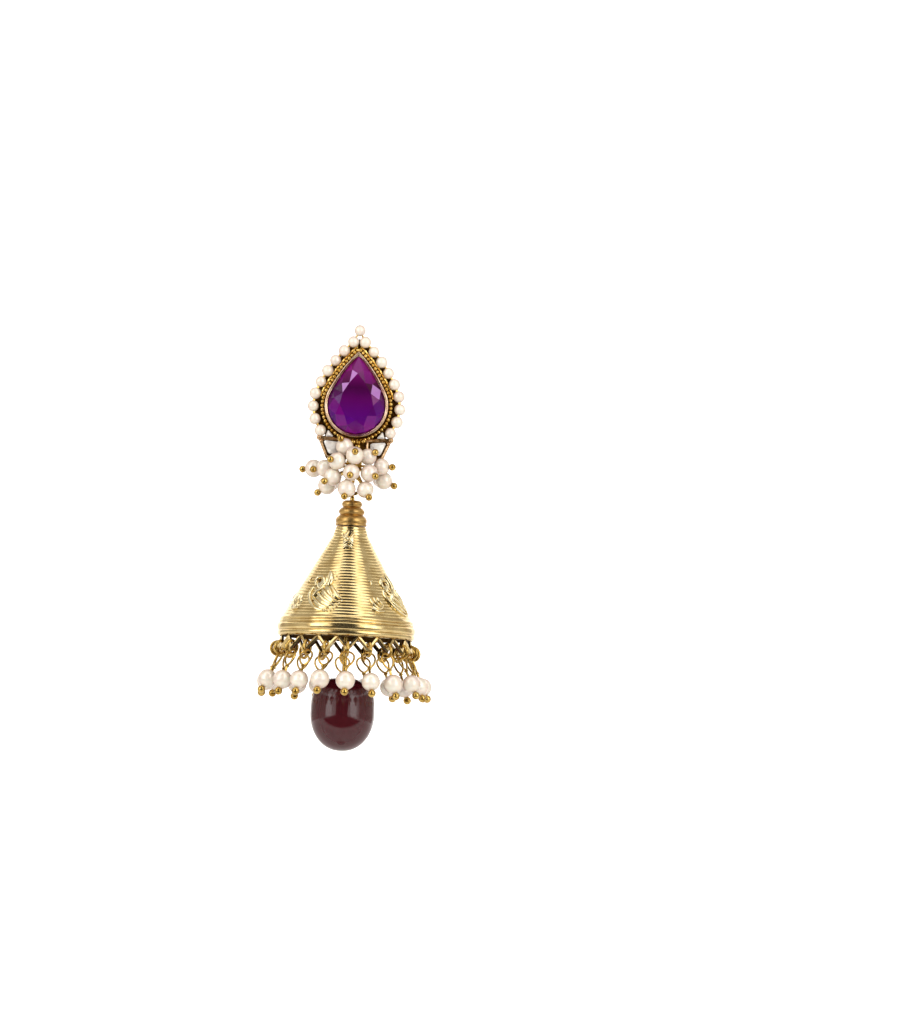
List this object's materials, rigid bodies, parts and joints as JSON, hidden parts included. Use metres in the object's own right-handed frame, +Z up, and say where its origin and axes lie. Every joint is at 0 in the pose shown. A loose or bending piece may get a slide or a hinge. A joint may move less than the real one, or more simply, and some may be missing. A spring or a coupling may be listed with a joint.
{
  "type": "drop earring",
  "caption": "Bell-shaped drop earring: pear-stone stud edged with pearls, pearl cluster, ribbed gold bell with a pearl fringe and a glass drop inside.",
  "frame": {"origin": "where the ear post meets the back of the setting plate", "axes": "+Z up, -Y the front that faces the viewer, +X to the viewer's right"},
  "size_m": [0.0308, 0.0311, 0.0753],
  "materials": {
    "antique_gold": "antique gold plate, satin",
    "matte_gold": "matte antique gold plate",
    "bright_gold": "polished pale gold plate over a cast, ribbed surface",
    "pearl": "cream pearl coat with gold-plated pins and ball ends",
    "white_shell": "white mother-of-pearl",
    "purple_stone": "foil-backed faceted purple glass",
    "maroon_glass": "polished dark maroon glass",
    "post_wire": "plain gold-plated wire"
  },
  "bodies": {
    "stud": {"setting_plate": "antique_gold", "pear_stone": "purple_stone", "edge_pearls": "pearl", "corner_stone_left": "white_shell", "corner_stone_right": "white_shell", "petal_stone_left": "white_shell", "petal_stone_right": "white_shell", "pearl_cluster": "pearl", "ear_post": "post_wire"},
    "link": {"link": "antique_gold"},
    "bell": {"bell_pin": "antique_gold", "cap": "matte_gold", "bell": "bright_gold", "jump_ring_01": "antique_gold", "jump_ring_02": "antique_gold", "jump_ring_03": "antique_gold", "jump_ring_04": "antique_gold", "jump_ring_05": "antique_gold", "jump_ring_06": "antique_gold", "jump_ring_07": "antique_gold", "jump_ring_08": "antique_gold", "jump_ring_09": "antique_gold", "jump_ring_10": "antique_gold", "jump_ring_11": "antique_gold", "jump_ring_12": "antique_gold", "jump_ring_13": "antique_gold", "jump_ring_14": "antique_gold", "jump_ring_15": "antique_gold", "jump_ring_16": "antique_gold", "jump_ring_17": "antique_gold", "jump_ring_18": "antique_gold", "jump_ring_19": "antique_gold", "jump_ring_20": "antique_gold", "fringe_drop_01": "pearl", "fringe_drop_02": "pearl", "fringe_drop_03": "pearl", "fringe_drop_04": "pearl", "fringe_drop_05": "pearl", "fringe_drop_06": "pearl", "fringe_drop_07": "pearl", "fringe_drop_08": "pearl", "fringe_drop_09": "pearl", "fringe_drop_10": "pearl", "fringe_drop_11": "pearl", "fringe_drop_12": "pearl", "fringe_drop_13": "pearl", "fringe_drop_14": "pearl", "fringe_drop_15": "pearl", "fringe_drop_16": "pearl", "fringe_drop_17": "pearl", "fringe_drop_18": "pearl", "fringe_drop_19": "pearl", "fringe_drop_20": "pearl"},
    "drop_ring": {"drop_ring": "antique_gold"},
    "drop": {"drop_pin": "antique_gold", "drop_bead": "maroon_glass"}
  },
  "joints": [
    {"name": "link_swing", "type": "hinge", "parent": "stud", "child": "link", "pos_m": [0, -0.0006, -0.0145], "axis": [0, 1, 0], "range_deg": [-15, 15]},
    {"name": "bell_swing", "type": "hinge", "parent": "link", "child": "bell", "pos_m": [0, -0.0006, -0.0166], "axis": [1, 0, 0], "range_deg": [-15, 15]},
    {"name": "ring_swing", "type": "hinge", "parent": "bell", "child": "drop_ring", "pos_m": [0, -0.0006, -0.0253], "axis": [0, 1, 0], "range_deg": [-7, 7]},
    {"name": "drop_swing", "type": "hinge", "parent": "drop_ring", "child": "drop", "pos_m": [0, -0.0006, -0.0272], "axis": [1, 0, 0], "range_deg": [-7, 7]}
  ]
}
